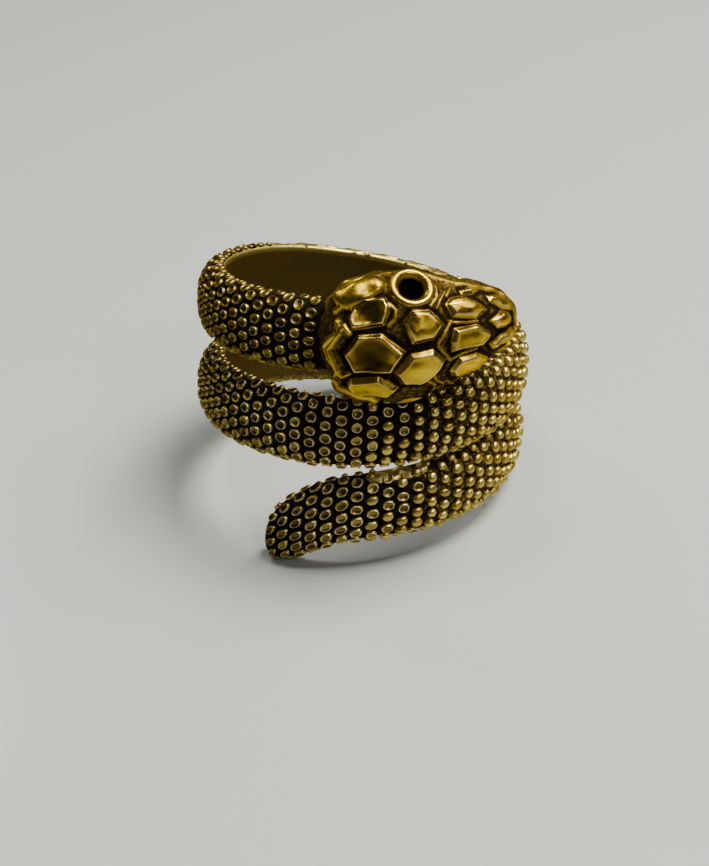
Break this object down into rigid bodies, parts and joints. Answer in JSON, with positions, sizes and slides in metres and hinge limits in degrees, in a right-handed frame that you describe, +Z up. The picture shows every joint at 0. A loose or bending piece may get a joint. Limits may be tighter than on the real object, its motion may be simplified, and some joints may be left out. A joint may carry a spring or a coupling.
{
  "type": "coiled snake finger ring",
  "caption": "Antiqued brass finger ring: a scaled snake winds twice round the finger, from a blunt low tail to a broad plated head that lies along the top coil.",
  "frame": {"origin": "on the surface that the ring stands on, under the middle of its box", "axes": "+Z up at rest; the finger axis leans 12.4 degrees from +Z towards +X and +Y; -Y faces the viewer, on whose side the head lies, snout towards +X"},
  "size_m": [0.0232, 0.025, 0.0204],
  "materials": {
    "antique_brass": "cast brass with a dark brown-green patina in the grooves, bright and worn on the scales, plates and rims"
  },
  "bodies": {
    "root": {"snake_ring": "antique_brass"}
  },
  "joints": []
}
